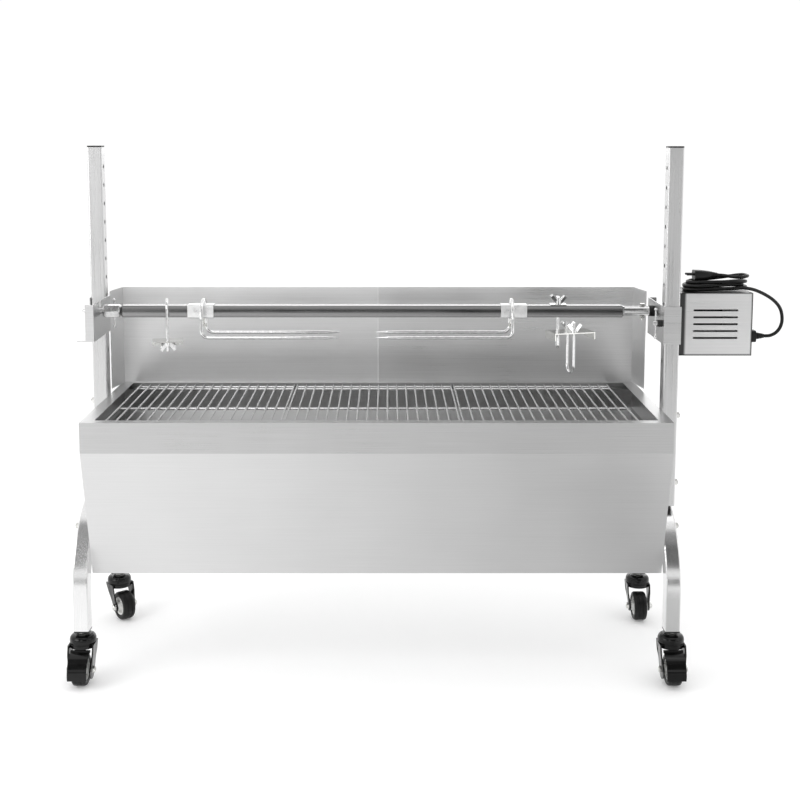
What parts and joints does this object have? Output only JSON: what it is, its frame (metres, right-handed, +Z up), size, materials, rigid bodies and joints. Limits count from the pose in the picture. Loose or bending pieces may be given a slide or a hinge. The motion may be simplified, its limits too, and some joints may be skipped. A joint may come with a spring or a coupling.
{
  "type": "rotisserie spit roaster",
  "caption": "Stainless charcoal tub on casters with a back guard, lift-out grates and a motor-driven square spit whose two carriages slide on holed posts.",
  "frame": {"origin": "on the floor, under the middle of the object's box without its cord", "axes": "+X along the spit towards the motor, +Y to the back guard, +Z up"},
  "size_m": [1.4472, 0.416, 1.059],
  "materials": {
    "sheet_steel": "brushed",
    "tube_steel": "satin",
    "leg_steel": "polished",
    "wire_chrome": "polished",
    "bolt_chrome": "polished",
    "rod_steel": "brushed",
    "black_gloss": "gloss",
    "hub_plastic": "gloss",
    "tyre_rubber": "semi-gloss",
    "fork_black": "gloss",
    "cord_black": "satin",
    "plug_black": "satin",
    "socket_dark": "satin",
    "motor_dark": "satin"
  },
  "bodies": {
    "frame": {"rim_frame": "sheet_steel", "tub_trough": "sheet_steel", "end_panels": "sheet_steel", "grate_rails": "sheet_steel", "guard_left": "sheet_steel", "guard_right": "sheet_steel", "frame_bolts": "bolt_chrome", "post_left": "tube_steel", "post_right": "tube_steel", "leg_left": "leg_steel", "leg_right": "leg_steel", "tube_plugs": "black_gloss", "caster_stems": "bolt_chrome"},
    "grate_left": {"grate_left": "wire_chrome"},
    "grate_middle": {"grate_middle": "wire_chrome"},
    "grate_right": {"grate_right": "wire_chrome"},
    "caster_front_left": {"caster_fork_front_left": "fork_black", "caster_axle_front_left": "bolt_chrome"},
    "wheel_front_left": {"wheel_hub_front_left": "hub_plastic", "wheel_tyre_front_left": "tyre_rubber"},
    "caster_front_right": {"caster_fork_front_right": "fork_black", "caster_axle_front_right": "bolt_chrome"},
    "wheel_front_right": {"wheel_hub_front_right": "hub_plastic", "wheel_tyre_front_right": "tyre_rubber"},
    "caster_rear_left": {"caster_fork_rear_left": "fork_black", "caster_axle_rear_left": "bolt_chrome"},
    "wheel_rear_left": {"wheel_hub_rear_left": "hub_plastic", "wheel_tyre_rear_left": "tyre_rubber"},
    "caster_rear_right": {"caster_fork_rear_right": "fork_black", "caster_axle_rear_right": "bolt_chrome"},
    "wheel_rear_right": {"wheel_hub_rear_right": "hub_plastic", "wheel_tyre_rear_right": "tyre_rubber"},
    "pedal_left": {"brake_pedal_left": "fork_black"},
    "pedal_right": {"brake_pedal_right": "fork_black"},
    "carriage_left": {"carriage_left": "tube_steel", "lock_bush_left": "black_gloss"},
    "carriage_right": {"carriage_right": "tube_steel", "lock_bush_right": "black_gloss", "motor_base": "sheet_steel", "motor_cover": "sheet_steel", "gear_motor": "motor_dark", "case_screws": "bolt_chrome", "cord_connector": "plug_black", "power_cord": "cord_black", "cord_hank": "cord_black", "cord_plug": "plug_black"},
    "screw_left": {"lock_screw_left": "bolt_chrome"},
    "screw_right": {"lock_screw_right": "bolt_chrome"},
    "spit": {"spit_rod": "rod_steel", "idler_bush": "tube_steel", "drive_stub": "tube_steel", "stub_bolt": "bolt_chrome", "drive_socket": "socket_dark", "clamp_u_bolts": "bolt_chrome", "clamp_plates": "bolt_chrome", "clamp_nuts": "bolt_chrome"},
    "fork_left": {"fork_left": "bolt_chrome", "fork_screw_left": "bolt_chrome"},
    "fork_right": {"fork_right": "bolt_chrome", "fork_screw_right": "bolt_chrome"}
  },
  "joints": [
    {"name": "grate_left_lift", "type": "slide", "parent": "frame", "child": "grate_left", "axis": [0, 0, 1], "range_m": [0, 0.016]},
    {"name": "grate_middle_lift", "type": "slide", "parent": "frame", "child": "grate_middle", "axis": [0, 0, 1], "range_m": [0, 0.016]},
    {"name": "grate_right_lift", "type": "slide", "parent": "frame", "child": "grate_right", "axis": [0, 0, 1], "range_m": [0, 0.016]},
    {"name": "caster_front_left_swivel", "type": "hinge", "parent": "frame", "child": "caster_front_left", "pos_m": [-0.65615, -0.149, 0.085], "axis": [0, 0, 1], "continuous": true},
    {"name": "wheel_front_left_spin", "type": "hinge", "parent": "caster_front_left", "child": "wheel_front_left", "pos_m": [-0.65615, -0.171, 0.031], "axis": [1, 0, 0], "continuous": true},
    {"name": "caster_front_right_swivel", "type": "hinge", "parent": "frame", "child": "caster_front_right", "pos_m": [0.51385, -0.149, 0.085], "axis": [0, 0, 1], "continuous": true},
    {"name": "wheel_front_right_spin", "type": "hinge", "parent": "caster_front_right", "child": "wheel_front_right", "pos_m": [0.51385, -0.171, 0.031], "axis": [1, 0, 0], "continuous": true},
    {"name": "caster_rear_left_swivel", "type": "hinge", "parent": "frame", "child": "caster_rear_left", "pos_m": [-0.65615, 0.175, 0.085], "axis": [0, 0, 1], "continuous": true},
    {"name": "wheel_rear_left_spin", "type": "hinge", "parent": "caster_rear_left", "child": "wheel_rear_left", "pos_m": [-0.6426, 0.15766, 0.031], "axis": [0.788, 0.6157, 0], "continuous": true},
    {"name": "caster_rear_right_swivel", "type": "hinge", "parent": "frame", "child": "caster_rear_right", "pos_m": [0.51385, 0.175, 0.085], "axis": [0, 0, 1], "continuous": true},
    {"name": "wheel_rear_right_spin", "type": "hinge", "parent": "caster_rear_right", "child": "wheel_rear_right", "pos_m": [0.51385, 0.153, 0.031], "axis": [1, 0, 0], "continuous": true},
    {"name": "brake_pedal_left_tilt", "type": "hinge", "parent": "caster_front_left", "child": "pedal_left", "pos_m": [-0.65615, -0.173, 0.068], "axis": [1, 0, 0], "range_deg": [-20, 0]},
    {"name": "brake_pedal_right_tilt", "type": "hinge", "parent": "caster_front_right", "child": "pedal_right", "pos_m": [0.51385, -0.173, 0.068], "axis": [1, 0, 0], "range_deg": [-20, 0]},
    {"name": "carriage_right_height", "type": "slide", "parent": "frame", "child": "carriage_right", "axis": [0, 0, 1], "range_m": [-0.04, 0.26]},
    {"name": "carriage_left_height", "type": "slide", "parent": "frame", "child": "carriage_left", "axis": [0, 0, 1], "range_m": [-0.04, 0.26]},
    {"name": "lock_screw_left_turn", "type": "hinge", "parent": "carriage_left", "child": "screw_left", "pos_m": [-0.63115, 0.064, 0.708], "axis": [-1, 0, 0], "continuous": true},
    {"name": "lock_screw_right_turn", "type": "hinge", "parent": "carriage_right", "child": "screw_right", "pos_m": [0.48885, -0.076, 0.708], "axis": [1, 0, 0], "continuous": true},
    {"name": "spit_turn", "type": "hinge", "parent": "carriage_right", "child": "spit", "pos_m": [-0.07115, -0.006, 0.723], "axis": [1, 0, 0], "continuous": true},
    {"name": "fork_left_slide", "type": "slide", "parent": "spit", "child": "fork_left", "axis": [1, 0, 0], "range_m": [-0.02, 0.06]},
    {"name": "fork_right_slide", "type": "slide", "parent": "spit", "child": "fork_right", "axis": [1, 0, 0], "range_m": [-0.06, 0.03]}
  ],
  "couplings": [
    {"joint": "carriage_left_height", "follows": "carriage_right_height", "ratio": 1}
  ]
}
